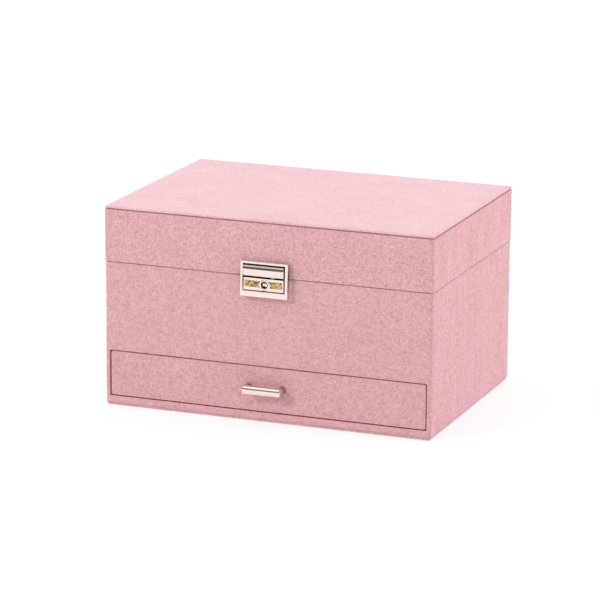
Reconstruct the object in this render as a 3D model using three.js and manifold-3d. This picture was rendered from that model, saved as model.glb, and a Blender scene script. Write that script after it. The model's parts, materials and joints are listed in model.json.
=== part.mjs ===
// Jewellery chest with a hinged, lockable lid and one full-width drawer.
// Millimetres, +Z up. The origin is the centre of the underside of the base panel; -Y is the front.
import * as THREE from "three";
import { mergeVertices } from "three/addons/utils/BufferGeometryUtils.js";
import Module from "manifold-3d";

const wasm = await Module();
wasm.setup();

// ---------------------------------------------------------------- driving dimensions
const WIDTH = 240; // lid, left to right
const DEPTH = 170; // lid, front to back
const HEIGHT = 142; // table to the top of the lid
const OVERHANG = 0.3; // the lid stands this far proud of the chest all round
const COVER = 0.5; // thickness of the suedette covering
const BOARD = 2.5; // wall boards
const GLUE = 0.05; // glue line between boards

const BASE_PANEL_H = 1.95;
const BASE_INSET = 1.5; // how far the base panel sits in from the chest walls
const CHEST_BOTTOM = 2.0;
const CHEST_TOP = 102.5;
const LID_BOTTOM = 102.9;
const TOP_PANEL_T = 1.7;

const BAY = { halfW: 116.6, z0: 6.8, z1: 39.6 }; // drawer opening in the front
const DRAWER_GAP = 0.5; // gap line round the drawer front
const DRAWER_BACK_Y = 78;
const DRAWER_SIDE_H = 36; // top of the drawer sides

const DECK_T = 2.5; // deck between the drawer bay and the compartment
const LINER_T = 2.0;
const TRAY_Z0 = 70.0;
const TRAY_Z1 = 101.5;
const TRAY_WALL = 2.5;
const MIRROR = { w: 160, d: 104, t: 1.9 };

const HINGE_X = 75; // each hinge sits this far from the middle
const HINGE_W = 24;
const AXIS = { y: 86.8, z: 102.7 }; // hinge pin
const KNUCKLE_R = 1.6;
const STOP_DEG = 50.2; // each stop wing stands this far from level, so they meet when the lid is open 100 degrees

const LOCK_Z = 97.8; // height of the key plug
const PULL = { z: 24.2, out: 7.5, r: 3.0, half: 14.2, postX: 12.4, postR: 2.9 };

const chestX = WIDTH / 2 - OVERHANG, chestY = DEPTH / 2 - OVERHANG;
const FRONT = -chestY; // front face of the chest and of the drawer

// ---------------------------------------------------------------- materials
const finish = (color, roughness, metalness) => () =>
  new THREE.MeshStandardMaterial({ color, roughness, metalness });
const suedette = finish(0xdca6ac, 0.95, 0);
const board = finish(0xa98f78, 0.9, 0);
const velvet = finish(0xe9d9d6, 0.95, 0);
const nickel = finish(0xe6ddd2, 0.22, 1);
const steel = finish(0xc9c6c0, 0.35, 1);
const silvered = finish(0xeef2f4, 0.05, 1);

// ---------------------------------------------------------------- shape helpers
function box(x0, x1, y0, y1, z0, z1) {
  return new THREE.BoxGeometry(x1 - x0, y1 - y0, z1 - z0).translate(
    (x0 + x1) / 2, (y0 + y1) / 2, (z0 + z1) / 2);
}
function cylinderX(r, x0, x1, y, z, sides = 32) {
  return new THREE.CylinderGeometry(r, r, x1 - x0, sides).rotateZ(Math.PI / 2).translate((x0 + x1) / 2, y, z);
}
function cylinderY(r, y0, y1, x, z, sides = 32) {
  return new THREE.CylinderGeometry(r, r, Math.abs(y1 - y0), sides).translate(x, (y0 + y1) / 2, z);
}
// A turned piece: profile points are [radius, distance along the axis], axis along +Y after the turn.
function turnedY(profile, x, y, z, sides = 36) {
  return new THREE.LatheGeometry(profile.map(([r, h]) => new THREE.Vector2(r, h)), sides).translate(x, y, z);
}
function solid(geometry) {
  const g = geometry.clone();
  g.deleteAttribute("normal");
  g.deleteAttribute("uv");
  const m = mergeVertices(g, 1e-4);
  return new wasm.Manifold(new wasm.Mesh({
    numProp: 3,
    vertProperties: new Float32Array(m.attributes.position.array),
    triVerts: new Uint32Array(m.index.array),
  }));
}
function geometryOf(manifold) {
  const m = manifold.getMesh();
  const g = new THREE.BufferGeometry();
  g.setAttribute("position", new THREE.BufferAttribute(new Float32Array(m.vertProperties), 3));
  g.setIndex(new THREE.BufferAttribute(new Uint32Array(m.triVerts), 1));
  g.computeVertexNormals();
  return g;
}
// join some solids, then cut others from them
function carve(joined, removed = []) {
  let s = solid(joined[0]);
  for (const g of joined.slice(1)) s = s.add(solid(g));
  for (const g of removed) s = s.subtract(solid(g));
  return geometryOf(s);
}
const root = new THREE.Group();
root.name = "jewellery_chest";
function group(name, parent = root) {
  const g = new THREE.Group();
  g.name = name;
  parent.add(g);
  return g;
}
function piece(parent, name, geometry, material) {
  const m = new THREE.Mesh(geometry, material());
  m.name = name;
  parent.add(m);
  return m;
}

// ================================================================ chest
const chest = group("chest_group");
const bx = chestX - COVER - GLUE, by = chestY - COVER - GLUE; // outer faces of the boards
const ix = bx - BOARD, iy = by - BOARD; // inner faces
const boardTop = CHEST_TOP - COVER - GLUE;
const bayFloor = BAY.z0 - GLUE, deckBottom = BAY.z1 + GLUE, deckTop = deckBottom + DECK_T;

piece(chest, "base_panel", box(-chestX + BASE_INSET, chestX - BASE_INSET, -chestY + BASE_INSET, chestY - BASE_INSET, 0, BASE_PANEL_H), suedette);
piece(chest, "bottom_board", box(-ix + GLUE, ix - GLUE, -by, by, CHEST_BOTTOM + 0.1, bayFloor), board);
piece(chest, "side_board_left", box(-bx, -ix, -by, by, CHEST_BOTTOM + 0.1, boardTop), board);
piece(chest, "side_board_right", box(ix, bx, -by, by, CHEST_BOTTOM + 0.1, boardTop), board);
piece(chest, "drawer_deck", box(-ix + GLUE, ix - GLUE, -iy + GLUE, iy - GLUE, deckBottom, deckTop), board);

// Holes for the lock's two prongs, through the covering and the front board.
const PRONG_X = 10, PRONG_R = 1.0, PRONG_HOLE_R = 1.3;
const prongHoles = (z) => [-PRONG_X, PRONG_X].map((x) => cylinderY(PRONG_HOLE_R, -90, -79, x, z, 20));
piece(chest, "front_board",
  carve([box(-ix + GLUE, ix - GLUE, -by, -iy, deckBottom, boardTop)], prongHoles(LOCK_Z)), board);

// Holes for the hinge screws in the back board and the covering.
const SCREW = { shankR: 0.9, holeR: 1.2, headR: 1.9, x: 7.4, lowerZ: 94.6, upperZ: 110.6 };
const screwHoles = (z, y0, y1) =>
  [-1, 1].flatMap((s) => [-1, 1].map((t) => cylinderY(SCREW.holeR, y0, y1, s * HINGE_X + t * SCREW.x, z, 20)));
piece(chest, "back_board",
  carve([box(-ix + GLUE, ix - GLUE, iy, by, bayFloor + GLUE, boardTop)], screwHoles(SCREW.lowerZ, 81, 90)), board);

// The suedette covering: one skin round all four sides, turned over the top rim, with the drawer opening cut in it.
piece(chest, "chest_cover", carve(
  [box(-chestX, chestX, -chestY, chestY, CHEST_BOTTOM, CHEST_TOP)],
  [
    box(-chestX + COVER, chestX - COVER, -chestY + COVER, chestY - COVER, CHEST_BOTTOM - 1, CHEST_TOP - COVER),
    box(-ix, ix, -iy, iy, CHEST_TOP - 2, CHEST_TOP + 1),
    box(-BAY.halfW, BAY.halfW, -chestY - 1, -chestY + 2, BAY.z0, BAY.z1),
    ...prongHoles(LOCK_Z),
    ...screwHoles(SCREW.lowerZ, 81, 90),
  ]), suedette);

// Velvet-covered cards that line the compartment below the tray; the tray rests on their top edges.
const lx = ix - GLUE, ly = iy - GLUE;
const linerTop = TRAY_Z0 - 0.1;
piece(chest, "liner_front", box(-lx, lx, -ly, -ly + LINER_T, deckTop + GLUE, linerTop), velvet);
piece(chest, "liner_back", box(-lx, lx, ly - LINER_T, ly, deckTop + GLUE, linerTop), velvet);
piece(chest, "liner_left", box(-lx, -lx + LINER_T, -ly + LINER_T + GLUE, ly - LINER_T - GLUE, deckTop + GLUE, linerTop), velvet);
piece(chest, "liner_right", box(lx - LINER_T, lx, -ly + LINER_T + GLUE, ly - LINER_T - GLUE, deckTop + GLUE, linerTop), velvet);
const cx = lx - LINER_T - 0.1, cy = ly - LINER_T - 0.1;
const floorTop = deckTop + GLUE + 2.0;
piece(chest, "floor_pad", box(-cx, cx, -cy, cy, deckTop + GLUE, floorTop), velvet);
piece(chest, "compartment_divider", box(-1, 1, -cy, cy, floorTop + GLUE, linerTop), velvet);

// ---------------------------------------------------------------- lock case on the chest
// Depths are measured forward from the chest's front face.
const out = (d) => FRONT - d;
const inFront = (x0, x1, d0, d1, z0, z1) => box(x0, x1, out(d1), out(d0), z0, z1);
const CASE = { half: 15.0, z0: 93.7, z1: 102.5, back: 0.1, face: 3.2 };
const POCKET = { x0: -2.4, x1: 6.9, d0: 0.55, d1: 2.45, z0: 94.3 };
const PLUG_R = 2.95, BORE_R = 3.15, COLLAR_R = 3.95, COLLAR_FACE = 3.5;
piece(chest, "lock_case", carve(
  [
    inFront(-CASE.half, CASE.half, CASE.back, CASE.face, CASE.z0, CASE.z1),
    cylinderY(COLLAR_R, out(COLLAR_FACE), out(1.0), 0, LOCK_Z, 40),
    ...[-PRONG_X, PRONG_X].map((x) => cylinderY(PRONG_R, out(0.5), out(-3.0), x, LOCK_Z, 16)),
  ],
  [
    inFront(POCKET.x0, POCKET.x1, POCKET.d0, POCKET.d1, POCKET.z0, CASE.z1 + 1), // room for the tongue and the cam
    cylinderY(BORE_R, out(COLLAR_FACE + 1), out(1.5), 0, LOCK_Z, 40), // bore of the key plug
  ]), nickel);

// ---------------------------------------------------------------- key plug and cam
const key = group("key_group");
piece(key, "key_plug", carve(
  [
    turnedY([[0, 0], [PLUG_R - 0.3, 0], [PLUG_R, 0.25], [PLUG_R, 0.85], [0.8, 0.85], [0.8, 2.75], [0, 2.75]], 0, out(3.5), LOCK_Z, 40),
  ],
  [
    cylinderY(0.75, out(4), out(2.95), 0, LOCK_Z, 16), // keyhole: round pin hole and slot below it
    inFront(-0.4, 0.4, 2.95, 4, LOCK_Z - 2.0, LOCK_Z),
  ]), nickel);
piece(key, "lock_cam", carve(
  [
    cylinderY(1.45, out(1.95), out(0.95), 0, LOCK_Z, 24),
    inFront(-0.9, 0.9, 0.95, 1.95, LOCK_Z, LOCK_Z + 3.95),
  ],
  [cylinderY(1.05, out(2.5), out(0.4), 0, LOCK_Z, 24)]), steel);

// ================================================================ lid
const lid = group("lid_group");
const hx = WIDTH / 2, hy = DEPTH / 2;
const lbx = hx - COVER - GLUE, lby = hy - COVER - GLUE, lix = lbx - BOARD, liy = lby - BOARD;
const topPanelZ = HEIGHT - TOP_PANEL_T, lidBoardTop = topPanelZ - 0.1, lidBoardBottom = LID_BOTTOM + COVER + GLUE;
const HASP_PRONG_Z = 107.6;
piece(lid, "lid_board_left", box(-lbx, -lix, -lby, lby, lidBoardBottom, lidBoardTop), board);
piece(lid, "lid_board_right", box(lix, lbx, -lby, lby, lidBoardBottom, lidBoardTop), board);
piece(lid, "lid_board_front", carve([box(-lix + GLUE, lix - GLUE, -lby, -liy, lidBoardBottom, lidBoardTop)], prongHoles(HASP_PRONG_Z)), board);
piece(lid, "lid_board_back", carve([box(-lix + GLUE, lix - GLUE, liy, lby, lidBoardBottom, lidBoardTop)], screwHoles(SCREW.upperZ, 81, 90)), board);
const lidDeckBottom = lidBoardTop - BOARD;
piece(lid, "lid_deck", box(-lix + GLUE, lix - GLUE, -liy + GLUE, liy - GLUE, lidDeckBottom, lidBoardTop), board);
piece(lid, "top_panel", new THREE.ExtrudeGeometry(
  roundedRectangle(hx - 0.45, hy - 0.45, 1.0),
  { depth: TOP_PANEL_T - 0.9, bevelEnabled: true, bevelThickness: 0.45, bevelSize: 0.45, bevelSegments: 2, curveSegments: 4 },
).translate(0, 0, topPanelZ + 0.45), suedette);
piece(lid, "lid_cover", carve(
  [box(-hx, hx, -hy, hy, LID_BOTTOM, lidBoardTop)],
  [
    box(-hx + COVER, hx - COVER, -hy + COVER, hy - COVER, LID_BOTTOM + COVER, HEIGHT),
    box(-lix, lix, -liy, liy, LID_BOTTOM - 1, LID_BOTTOM + 1),
    ...prongHoles(HASP_PRONG_Z),
    ...screwHoles(SCREW.upperZ, 81, 90),
  ]), suedette);
const lidPadBottom = lidDeckBottom - 2.4;
piece(lid, "lid_pad", box(-lix + 0.1, lix - 0.1, -liy + 0.1, liy - 0.1, lidPadBottom, lidDeckBottom - GLUE), velvet);
const mirrorBottom = lidPadBottom - GLUE - MIRROR.t;
piece(lid, "mirror_glass", new THREE.ExtrudeGeometry(
  roundedRectangle(MIRROR.w / 2, MIRROR.d / 2, 3), { depth: MIRROR.t, bevelEnabled: false, curveSegments: 6 },
).translate(0, 0, mirrorBottom), silvered);
piece(lid, "mirror_frame", carve(
  [new THREE.ExtrudeGeometry(roundedRectangle(MIRROR.w / 2 + 3.3, MIRROR.d / 2 + 3.3, 6), { depth: 2.3, bevelEnabled: false, curveSegments: 6 }).translate(0, 0, lidPadBottom - GLUE - 2.3)],
  [new THREE.ExtrudeGeometry(roundedRectangle(MIRROR.w / 2 + 0.3, MIRROR.d / 2 + 0.3, 3.3), { depth: 6, bevelEnabled: false, curveSegments: 6 }).translate(0, 0, lidPadBottom - 4)]), nickel);

function roundedRectangle(a, b, r) {
  const s = new THREE.Shape();
  s.moveTo(-a + r, -b).lineTo(a - r, -b).absarc(a - r, -b + r, r, -Math.PI / 2, 0, false);
  s.lineTo(a, b - r).absarc(a - r, b - r, r, 0, Math.PI / 2, false);
  s.lineTo(-a + r, b).absarc(-a + r, b - r, r, Math.PI / 2, Math.PI, false);
  s.lineTo(-a, -b + r).absarc(-a + r, -b + r, r, Math.PI, 1.5 * Math.PI, false);
  return s;
}

// ---------------------------------------------------------------- hasp on the lid
// The frame hangs down in front of the lock case; the hook behind the bar drops into the pocket of the case.
const HASP = { half: 17.3, z0: 89.3, z1: 113.8, winHalf: 15.5, winZ0: 93.2, winZ1: 112.1, back: 3.7, face: 5.0, wallFace: 0.4 };
piece(lid, "hasp_frame", carve(
  [
    inFront(-HASP.half, HASP.half, HASP.back, HASP.face, HASP.z0, HASP.z1),
    inFront(-HASP.half, HASP.half, HASP.wallFace, HASP.back + 0.3, 103.1, HASP.z1),
  ],
  [
    inFront(-HASP.winHalf, HASP.winHalf, -1, 9, HASP.winZ0, HASP.winZ1),
  ]), nickel);
piece(lid, "hasp_bar", carve(
  [
    inFront(-15.2, 15.2, HASP.wallFace, 3.2, 103.15, 111.8),
    inFront(4.4, 6.5, 0.95, 1.95, 94.6, 103.6), // hook stem
    inFront(1.75, 6.5, 0.95, 1.95, 94.6, 96.6), // hook foot
    ...[-PRONG_X, PRONG_X].map((x) => cylinderY(PRONG_R, out(0.8), out(-2.6), x, HASP_PRONG_Z, 16)),
  ]), nickel);

// ---------------------------------------------------------------- stop hinges
// Chest leaf: two outer knuckles. Lid leaf: one middle knuckle. Each leaf has a wing behind the barrel;
// the wings meet when the lid stands open.
const GAP_K = 0.25; // side play between knuckles
const third = HINGE_W / 3;
function knuckle(x0, x1) { return cylinderX(KNUCKLE_R, x0, x1, AXIS.y, AXIS.z, 28); }
function wing(x0, x1, deg, up, r0, r1) {
  // a plate whose face lies on the plane through the pin at this angle; up = which side its thickness is on
  const t = 0.8;
  const g = new THREE.BoxGeometry(x1 - x0, r1 - r0, t).translate((x0 + x1) / 2, (r0 + r1) / 2, (up * t) / 2);
  return g.rotateX((deg * Math.PI) / 180).translate(0, AXIS.y, AXIS.z);
}
function hinge(side, sideName) {
  const c = side * HINGE_X, a = c - HINGE_W / 2, b = c + HINGE_W / 2;
  const m0 = a + third, m1 = b - third; // the middle knuckle's span
  const screws = (z) => [-1, 1].map((t) => cylinderY(SCREW.holeR, 80, 90, c + t * SCREW.x, z, 20));
  const bore = cylinderX(0.85, a - 1, b + 1, AXIS.y, AXIS.z, 24);
  const yl = chestY + GLUE; // inner face of the lower leaf
  piece(chest, "hinge_leaf_lower_" + sideName, carve(
    [
      box(a, b, yl, yl + 0.8, 89.0, 100.9),
      box(a, m0 - GAP_K, yl, yl + 0.8, 100.0, AXIS.z), knuckle(a, m0 - GAP_K),
      box(m1 + GAP_K, b, yl, yl + 0.8, 100.0, AXIS.z), knuckle(m1 + GAP_K, b),
      wing(a, b, -STOP_DEG, -1, 1.95, 4.2),
      wing(a, m0 - GAP_K, -STOP_DEG, -1, 1.2, 2.4),
      wing(m1 + GAP_K, b, -STOP_DEG, -1, 1.2, 2.4),
    ], [bore, ...screws(SCREW.lowerZ)]), nickel);
  const yu = hy + GLUE;
  piece(lid, "hinge_leaf_upper_" + sideName, carve(
    [
      box(a, b, yu, yu + 0.8, 104.5, 116.4),
      box(m0 + GAP_K, m1 - GAP_K, yu, yu + 0.8, AXIS.z, 105.5), knuckle(m0 + GAP_K, m1 - GAP_K),
      wing(a, b, STOP_DEG, 1, 1.95, 4.2),
      wing(m0 + GAP_K, m1 - GAP_K, STOP_DEG, 1, 1.2, 2.4),
    ], [bore, ...screws(SCREW.upperZ)]), nickel);
  piece(lid, "hinge_pin_" + sideName, cylinderX(0.7, a - 0.3, b + 0.3, AXIS.y, AXIS.z, 20), steel);
  const screw = (parent, name, x, z, leafFace) => piece(parent, name,
    turnedY([[0, 0], [SCREW.shankR, 0], [SCREW.shankR, 3.9], [SCREW.headR, 3.9], [SCREW.headR * 0.8, 4.35], [SCREW.headR * 0.35, 4.6], [0, 4.62]],
      x, leafFace - 3.85, z, 20), steel);
  for (const [t, where] of [[-1, "a"], [1, "b"]]) {
    screw(chest, "hinge_screw_lower_" + sideName + "_" + where, c + t * SCREW.x, SCREW.lowerZ, yl + 0.8);
    screw(lid, "hinge_screw_upper_" + sideName + "_" + where, c + t * SCREW.x, SCREW.upperZ, yu + 0.8);
  }
}
hinge(-1, "left");
hinge(1, "right");

// ================================================================ drawer
const drawer = group("drawer_group");
const dx = BAY.halfW - DRAWER_GAP, dz0 = BAY.z0 + DRAWER_GAP, dz1 = BAY.z1 - DRAWER_GAP;
const frontBack = FRONT + COVER + GLUE + BOARD; // inner face of the drawer front board
const pullHoles = [-PULL.postX, PULL.postX].map((x) => cylinderY(1.8, -92, -78, x, PULL.z, 20));
piece(drawer, "drawer_front", carve(
  [box(-dx + COVER + GLUE, dx - COVER - GLUE, FRONT + COVER + GLUE, frontBack, dz0 + COVER + GLUE, dz1 - COVER - GLUE)], pullHoles), board);
piece(drawer, "drawer_front_cover", carve(
  [box(-dx, dx, FRONT, frontBack, dz0, dz1)],
  [box(-dx + COVER, dx - COVER, FRONT + COVER, frontBack + 1, dz0 + COVER, dz1 - COVER), ...pullHoles]), suedette);
const sx = dx - 0.2, DSIDE = 2.3, dBottom = dz0, dFloor = dBottom + 2.0;
const dFrontY = frontBack + GLUE;
piece(drawer, "drawer_bottom", box(-sx, sx, dFrontY, DRAWER_BACK_Y, dBottom, dFloor), board);
piece(drawer, "drawer_side_left", box(-sx, -sx + DSIDE, dFrontY, DRAWER_BACK_Y, dFloor + GLUE, DRAWER_SIDE_H), velvet);
piece(drawer, "drawer_side_right", box(sx - DSIDE, sx, dFrontY, DRAWER_BACK_Y, dFloor + GLUE, DRAWER_SIDE_H), velvet);
const dInX = sx - DSIDE - GLUE;
piece(drawer, "drawer_back", box(-dInX, dInX, DRAWER_BACK_Y - DSIDE, DRAWER_BACK_Y, dFloor + GLUE, DRAWER_SIDE_H), velvet);
const padTop = dFloor + GLUE + 1.5;
piece(drawer, "drawer_pad", box(-dInX + 0.1, dInX - 0.1, dFrontY + 0.1, DRAWER_BACK_Y - DSIDE - 0.1, dFloor + GLUE, padTop), velvet);
piece(drawer, "drawer_divider", box(-1, 1, dFrontY + 2.2, DRAWER_BACK_Y - DSIDE - 0.15, padTop + GLUE, DRAWER_SIDE_H - 3), velvet);

// The pull: a round bar on two round posts, each held by a screw from inside the drawer.
const endR = 0.9;
const barProfile = [[0, -PULL.half], [PULL.r - endR, -PULL.half]];
for (let i = 1; i <= 4; i++) {
  const a = (i / 4) * (Math.PI / 2);
  barProfile.push([PULL.r - endR + endR * Math.sin(a), -PULL.half + endR - endR * Math.cos(a)]);
}
for (let i = 0; i <= 4; i++) {
  const a = (i / 4) * (Math.PI / 2);
  barProfile.push([PULL.r - endR + endR * Math.cos(a), PULL.half - endR + endR * Math.sin(a)]);
}
barProfile.push([0, PULL.half]);
const bar = new THREE.LatheGeometry(barProfile.map(([r, h]) => new THREE.Vector2(r, h)), 36)
  .rotateZ(Math.PI / 2).translate(0, out(PULL.out), PULL.z);
piece(drawer, "pull_handle", carve(
  [bar, ...[-PULL.postX, PULL.postX].map((x) => cylinderY(PULL.postR - 0.4, out(PULL.out), out(0.1), x, PULL.z, 32)),
    ...[-PULL.postX, PULL.postX].map((x) => cylinderY(PULL.postR, out(1.1), out(0.1), x, PULL.z, 32))],
  [-PULL.postX, PULL.postX].map((x) => cylinderY(1.6, out(5.0), out(-1), x, PULL.z, 20))), nickel);
for (const [x, where] of [[-PULL.postX, "left"], [PULL.postX, "right"]])
  piece(drawer, "pull_screw_" + where,
    turnedY([[0, 0], [1.3, 0], [1.3, 7.45], [3.0, 7.45], [2.8, 8.3], [1.6, 8.95], [0, 9.05]], x, frontBack + GLUE - 7.45, PULL.z, 24), steel);

// ================================================================ lift-out tray
const tray = group("tray_group");
const tx = ix - 0.8, ty = iy - 0.8;
const trayFloor = TRAY_Z0 + 2.0;
piece(tray, "tray_base", box(-tx, tx, -ty, ty, TRAY_Z0, trayFloor), velvet);
piece(tray, "tray_frame", carve(
  [box(-tx, tx, -ty, ty, trayFloor + GLUE, TRAY_Z1)],
  [box(-tx + TRAY_WALL, tx - TRAY_WALL, -ty + TRAY_WALL, ty - TRAY_WALL, trayFloor - 1, TRAY_Z1 + 1)]), velvet);
const tix = tx - TRAY_WALL - GLUE, tiy = ty - TRAY_WALL - GLUE;
const DIV_Y = 31, DIV_TOP = TRAY_Z1 - 1.5;
piece(tray, "tray_divider_long", box(-tix, tix, DIV_Y - 1, DIV_Y + 1, trayFloor + GLUE, DIV_TOP), velvet);
piece(tray, "tray_divider_ring", box(-1, 1, -tiy, DIV_Y - 1 - GLUE, trayFloor + GLUE, DIV_TOP), velvet);
piece(tray, "tray_divider_small", box(1 + GLUE, tix, -24, -22, trayFloor + GLUE, DIV_TOP), velvet);

// Ring rolls: seven soft rolls side by side, joined underneath.
const ROLLS = 7;
const ry0 = -tiy + 0.4, ry1 = DIV_Y - 1.5, pitch = (ry1 - ry0) / ROLLS, rr = pitch / 2;
const rollCentreZ = trayFloor + 14.5;
const s = new THREE.Shape();
s.moveTo(ry0, trayFloor + 0.3).lineTo(ry1, trayFloor + 0.3);
for (let i = ROLLS - 1; i >= 0; i--) {
  const c = ry0 + pitch * (i + 0.5);
  for (let k = 0; k <= 8; k++) {
    if (k === 0 && i < ROLLS - 1) continue;
    const a = (k / 8) * Math.PI;
    s.lineTo(c + rr * Math.cos(a), rollCentreZ + rr * Math.sin(a) * 1.15);
  }
}
s.closePath();
// The outline is drawn in (y, z) and pushed along x.
const ringGeometry = new THREE.ExtrudeGeometry(s, { depth: tix - 1 - 0.8, bevelEnabled: false });
ringGeometry.applyMatrix4(new THREE.Matrix4().makeBasis(new THREE.Vector3(0, 1, 0), new THREE.Vector3(0, 0, 1), new THREE.Vector3(1, 0, 0)));
ringGeometry.translate(-tix + 0.4, 0, 0);
piece(tray, "ring_rolls", ringGeometry, velvet);

export default root;
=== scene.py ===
# Jewellery chest with drawers: the visible surfaces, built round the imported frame.
import json
import math

import bmesh
import bpy
from mathutils import Matrix, Vector, noise


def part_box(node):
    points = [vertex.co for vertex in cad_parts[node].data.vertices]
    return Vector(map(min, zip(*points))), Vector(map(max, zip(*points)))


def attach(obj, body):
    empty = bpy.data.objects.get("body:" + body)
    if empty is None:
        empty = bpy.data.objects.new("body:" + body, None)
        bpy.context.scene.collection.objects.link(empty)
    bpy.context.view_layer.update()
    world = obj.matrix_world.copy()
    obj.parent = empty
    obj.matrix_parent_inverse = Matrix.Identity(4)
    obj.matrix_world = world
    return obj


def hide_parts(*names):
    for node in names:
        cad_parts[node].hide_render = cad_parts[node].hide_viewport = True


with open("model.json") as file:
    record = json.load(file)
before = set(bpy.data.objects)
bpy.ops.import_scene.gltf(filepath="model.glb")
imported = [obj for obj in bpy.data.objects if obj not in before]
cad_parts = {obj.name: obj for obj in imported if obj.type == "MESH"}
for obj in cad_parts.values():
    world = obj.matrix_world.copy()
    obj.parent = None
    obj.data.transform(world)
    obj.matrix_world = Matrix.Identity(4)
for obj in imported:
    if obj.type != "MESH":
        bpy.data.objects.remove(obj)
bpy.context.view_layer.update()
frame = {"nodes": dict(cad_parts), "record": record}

scene = bpy.context.scene
scene.view_settings.view_transform = "Standard"
MM = 0.001


def box_mm(node):
    lo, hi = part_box(node)
    return lo / MM, hi / MM


# ------------------------------------------------------------------ camera
cam_data = bpy.data.cameras.new("camera")
cam_data.sensor_width = 36
cam_data.sensor_fit = "HORIZONTAL"
cam_data.lens = 207.68
cam_data.clip_start, cam_data.clip_end = 0.05, 60
cam = bpy.data.objects.new("camera", cam_data)
scene.collection.objects.link(cam)
cam.location = (0.84191, -2.20564, 0.66906)
cam.rotation_euler = (math.radians(75.686), math.radians(-0.391), math.radians(21.171))
scene.camera = cam


# ------------------------------------------------------------------ materials
class Nodes:
    """A small helper for wiring a material's nodes."""

    def __init__(self, name):
        self.mat = bpy.data.materials.new(name)
        self.mat.use_nodes = True
        self.t = self.mat.node_tree
        self.t.nodes.clear()
        self.out = self.t.nodes.new("ShaderNodeOutputMaterial")
        self.bsdf = self.t.nodes.new("ShaderNodeBsdfPrincipled")
        self.link(self.bsdf.outputs[0], self.out.inputs[0])

    def link(self, a, b):
        self.t.links.new(a, b)

    def put(self, socket, value):
        if isinstance(value, bpy.types.NodeSocket):
            self.link(value, socket)
        else:
            socket.default_value = value

    def coords(self, scale=(1, 1, 1), rotation=(0, 0, 0), shift=(0, 0, 0)):
        tc = self.t.nodes.new("ShaderNodeTexCoord")
        mp = self.t.nodes.new("ShaderNodeMapping")
        mp.inputs["Scale"].default_value = scale
        mp.inputs["Rotation"].default_value = rotation
        mp.inputs["Location"].default_value = shift
        self.link(tc.outputs["Object"], mp.inputs["Vector"])
        return mp.outputs[0]

    def noise(self, vec, scale, detail=2.0, rough=0.5, distortion=0.0):
        n = self.t.nodes.new("ShaderNodeTexNoise")
        self.link(vec, n.inputs["Vector"])
        n.inputs["Scale"].default_value = scale
        n.inputs["Detail"].default_value = detail
        n.inputs["Roughness"].default_value = rough
        n.inputs["Distortion"].default_value = distortion
        return n.outputs["Fac"]

    def voronoi(self, vec, scale, feature="F1"):
        n = self.t.nodes.new("ShaderNodeTexVoronoi")
        n.feature = feature
        self.link(vec, n.inputs["Vector"])
        n.inputs["Scale"].default_value = scale
        return n.outputs["Distance"]

    def ramp(self, fac, stops):
        n = self.t.nodes.new("ShaderNodeValToRGB")
        e = n.color_ramp.elements
        e[0].position, e[0].color = stops[0][0], (*([stops[0][1]] * 3), 1) if not hasattr(stops[0][1], "__len__") else (*stops[0][1], 1)
        e[1].position, e[1].color = stops[-1][0], (*([stops[-1][1]] * 3), 1) if not hasattr(stops[-1][1], "__len__") else (*stops[-1][1], 1)
        for p, c in stops[1:-1]:
            x = e.new(p)
            x.color = (*c, 1) if hasattr(c, "__len__") else (c, c, c, 1)
        self.link(fac, n.inputs[0])
        return n.outputs[0]

    def math(self, op, a, b=0.0, c=0.0):
        n = self.t.nodes.new("ShaderNodeMath")
        n.operation = op
        self.put(n.inputs[0], a)
        self.put(n.inputs[1], b)
        if len(n.inputs) > 2:
            self.put(n.inputs[2], c)
        return n.outputs[0]

    def mix(self, fac, a, b, mode="MIX"):
        n = self.t.nodes.new("ShaderNodeMix")
        n.data_type = "RGBA"
        n.blend_type = mode
        self.put(n.inputs[0], fac)
        for s, v in ((n.inputs[6], a), (n.inputs[7], b)):
            if isinstance(v, bpy.types.NodeSocket):
                self.link(v, s)
            else:
                s.default_value = (*v, 1) if len(v) == 3 else v
        return n.outputs[2]

    def bump(self, height, distance, strength=1.0, after=None):
        n = self.t.nodes.new("ShaderNodeBump")
        n.inputs["Strength"].default_value = strength
        n.inputs["Distance"].default_value = distance
        self.link(height, n.inputs["Height"])
        if after is not None:
            self.link(after, n.inputs["Normal"])
        return n.outputs[0]

    def set(self, **values):
        names = {"color": "Base Color", "rough": "Roughness", "metal": "Metallic", "sheen": "Sheen Weight", "sheen_rough": "Sheen Roughness",
                 "sheen_tint": "Sheen Tint", "normal": "Normal", "ior": "IOR", "coat": "Coat Weight", "coat_rough": "Coat Roughness",
                 "spec": "Specular IOR Level", "aniso": "Anisotropic"}
        for k, v in values.items():
            s = self.bsdf.inputs[names[k]]
            if isinstance(v, bpy.types.NodeSocket):
                self.link(v, s)
            elif hasattr(v, "__len__") and len(v) == 3:
                s.default_value = (*v, 1)
            else:
                s.default_value = v
        return self.mat


def shade(c, k):
    return tuple(min(1, max(0, x * k)) for x in c)


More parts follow.
